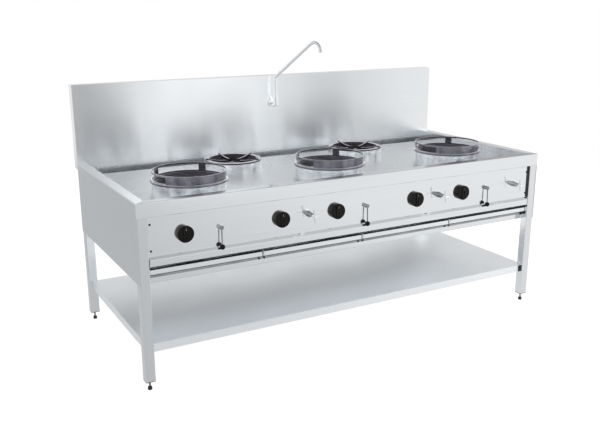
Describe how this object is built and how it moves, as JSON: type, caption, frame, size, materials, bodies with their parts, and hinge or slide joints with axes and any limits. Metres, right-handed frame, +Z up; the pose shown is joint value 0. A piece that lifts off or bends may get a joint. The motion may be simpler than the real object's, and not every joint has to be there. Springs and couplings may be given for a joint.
{
  "type": "wok range",
  "caption": "Free-standing stainless wok range: recessed top with wok rings and pot burners, splashback with swivel spout, front controls, drip trays and undershelf.",
  "frame": {"origin": "on the floor, in the middle of the object's bounding box", "axes": "+X to the cook's right, +Y back to the splashback, +Z up"},
  "size_m": [2.25, 1.07, 1.4473],
  "materials": {
    "stainless": "brushed",
    "polished_stainless": "polished",
    "chrome": "polished",
    "cast_iron": "matte",
    "heat_dark_steel": "satin",
    "black_plastic": "satin",
    "black_foot": "satin",
    "brass": "cast",
    "steel_pipe": "satin"
  },
  "bodies": {
    "range_body": {"legs": "stainless", "front_rim": "stainless", "side_panel_left": "stainless", "side_panel_right": "stainless", "worktop": "stainless", "gutter": "stainless", "rear_panel": "stainless", "splashback": "stainless", "splashback_cover": "stainless", "splashback_posts": "stainless", "control_panel": "stainless", "panel_screws": "stainless", "lower_rails": "stainless", "tray_runners": "stainless", "undershelf": "stainless", "burner_rails": "stainless", "drain_outlet": "stainless", "water_pipes": "stainless", "wok_collars": "polished_stainless", "pot_collars": "polished_stainless", "tap_bodies": "chrome", "faucet_body": "chrome", "spout_nut": "chrome", "wok_burners": "cast_iron", "pot_burners": "cast_iron", "wok_bowls": "heat_dark_steel", "pot_bowls": "heat_dark_steel", "leg_inserts": "black_plastic", "gas_valves": "brass", "lever_valves": "brass", "gas_manifold": "steel_pipe"},
    "gas_knob_left": {"knob_left": "black_plastic"},
    "gas_knob_pot_left": {"knob_pot_left": "black_plastic"},
    "gas_knob_middle": {"knob_middle": "black_plastic"},
    "gas_knob_pot_right": {"knob_pot_right": "black_plastic"},
    "gas_knob_right": {"knob_right": "black_plastic"},
    "ball_lever_left": {"lever_left": "chrome", "lever_ball_left": "black_plastic"},
    "ball_lever_middle": {"lever_middle": "chrome", "lever_ball_middle": "black_plastic"},
    "ball_lever_right": {"lever_right": "chrome", "lever_ball_right": "black_plastic"},
    "tap_handle_left": {"cross_handle_left": "chrome"},
    "tap_handle_middle": {"cross_handle_middle": "chrome"},
    "tap_handle_right": {"cross_handle_right": "chrome"},
    "swivel_spout": {"spout": "chrome"},
    "tray_left": {"drip_tray_left": "stainless"},
    "tray_middle_left": {"drip_tray_middle_left": "stainless"},
    "tray_middle_right": {"drip_tray_middle_right": "stainless"},
    "tray_right": {"drip_tray_right": "stainless"},
    "ring_left": {"wok_ring_left": "heat_dark_steel"},
    "ring_middle": {"wok_ring_middle": "heat_dark_steel"},
    "ring_right": {"wok_ring_right": "heat_dark_steel"},
    "support_left": {"pot_support_left": "cast_iron"},
    "support_right": {"pot_support_right": "cast_iron"},
    "strainer": {"strainer_basket": "stainless"},
    "levelling_foot_front_left": {"foot_front_left": "black_foot"},
    "levelling_foot_front_right": {"foot_front_right": "black_foot"},
    "levelling_foot_rear_left": {"foot_rear_left": "black_foot"},
    "levelling_foot_rear_right": {"foot_rear_right": "black_foot"}
  },
  "joints": [
    {"name": "knob_left_turn", "type": "hinge", "parent": "range_body", "child": "gas_knob_left", "pos_m": [-0.914, -0.471, 0.693], "axis": [0, -1, 0], "range_deg": [0, 220]},
    {"name": "knob_pot_left_turn", "type": "hinge", "parent": "range_body", "child": "gas_knob_pot_left", "pos_m": [-0.4475, -0.471, 0.693], "axis": [0, -1, 0], "range_deg": [0, 220]},
    {"name": "knob_middle_turn", "type": "hinge", "parent": "range_body", "child": "gas_knob_middle", "pos_m": [-0.152, -0.471, 0.693], "axis": [0, -1, 0], "range_deg": [0, 220]},
    {"name": "knob_pot_right_turn", "type": "hinge", "parent": "range_body", "child": "gas_knob_pot_right", "pos_m": [0.3145, -0.471, 0.693], "axis": [0, -1, 0], "range_deg": [0, 220]},
    {"name": "knob_right_turn", "type": "hinge", "parent": "range_body", "child": "gas_knob_right", "pos_m": [0.61, -0.471, 0.693], "axis": [0, -1, 0], "range_deg": [0, 220]},
    {"name": "lever_left_turn", "type": "hinge", "parent": "range_body", "child": "ball_lever_left", "pos_m": [-0.748, -0.471, 0.698], "axis": [0, -1, 0], "range_deg": [0, 90]},
    {"name": "lever_middle_turn", "type": "hinge", "parent": "range_body", "child": "ball_lever_middle", "pos_m": [0.014, -0.471, 0.698], "axis": [0, -1, 0], "range_deg": [0, 90]},
    {"name": "lever_right_turn", "type": "hinge", "parent": "range_body", "child": "ball_lever_right", "pos_m": [0.776, -0.471, 0.698], "axis": [0, -1, 0], "range_deg": [0, 90]},
    {"name": "tap_left_turn", "type": "hinge", "parent": "range_body", "child": "tap_handle_left", "pos_m": [-0.3025, -0.471, 0.698], "axis": [0, -1, 0], "range_deg": [0, 360]},
    {"name": "tap_middle_turn", "type": "hinge", "parent": "range_body", "child": "tap_handle_middle", "pos_m": [0.4595, -0.471, 0.698], "axis": [0, -1, 0], "range_deg": [0, 360]},
    {"name": "tap_right_turn", "type": "hinge", "parent": "range_body", "child": "tap_handle_right", "pos_m": [0.969, -0.471, 0.698], "axis": [0, -1, 0], "range_deg": [0, 360]},
    {"name": "spout_swivel", "type": "hinge", "parent": "range_body", "child": "swivel_spout", "pos_m": [0, 0.44, 1.116], "axis": [0, 0, 1], "range_deg": [-105, 75]},
    {"name": "tray_left_pull", "type": "slide", "parent": "range_body", "child": "tray_left", "axis": [0, -1, 0], "range_m": [0, 0.45]},
    {"name": "tray_middle_left_pull", "type": "slide", "parent": "range_body", "child": "tray_middle_left", "axis": [0, -1, 0], "range_m": [0, 0.45]},
    {"name": "tray_middle_right_pull", "type": "slide", "parent": "range_body", "child": "tray_middle_right", "axis": [0, -1, 0], "range_m": [0, 0.45]},
    {"name": "tray_right_pull", "type": "slide", "parent": "range_body", "child": "tray_right", "axis": [0, -1, 0], "range_m": [0, 0.45]},
    {"name": "ring_left_lift", "type": "slide", "parent": "range_body", "child": "ring_left", "axis": [0, 0, 1], "range_m": [0, 0.2]},
    {"name": "ring_middle_lift", "type": "slide", "parent": "range_body", "child": "ring_middle", "axis": [0, 0, 1], "range_m": [0, 0.2]},
    {"name": "ring_right_lift", "type": "slide", "parent": "range_body", "child": "ring_right", "axis": [0, 0, 1], "range_m": [0, 0.2]},
    {"name": "support_left_lift", "type": "slide", "parent": "range_body", "child": "support_left", "axis": [0, 0, 1], "range_m": [0, 0.12]},
    {"name": "support_right_lift", "type": "slide", "parent": "range_body", "child": "support_right", "axis": [0, 0, 1], "range_m": [0, 0.12]},
    {"name": "strainer_lift", "type": "slide", "parent": "range_body", "child": "strainer", "axis": [0, 0, 1], "range_m": [0, 0.12]},
    {"name": "foot_front_left_screw_out", "type": "slide", "parent": "range_body", "child": "levelling_foot_front_left", "axis": [0, 0, -1], "range_m": [0, 0.02]},
    {"name": "foot_front_right_screw_out", "type": "slide", "parent": "range_body", "child": "levelling_foot_front_right", "axis": [0, 0, -1], "range_m": [0, 0.02]},
    {"name": "foot_rear_left_screw_out", "type": "slide", "parent": "range_body", "child": "levelling_foot_rear_left", "axis": [0, 0, -1], "range_m": [0, 0.02]},
    {"name": "foot_rear_right_screw_out", "type": "slide", "parent": "range_body", "child": "levelling_foot_rear_right", "axis": [0, 0, -1], "range_m": [0, 0.02]}
  ]
}
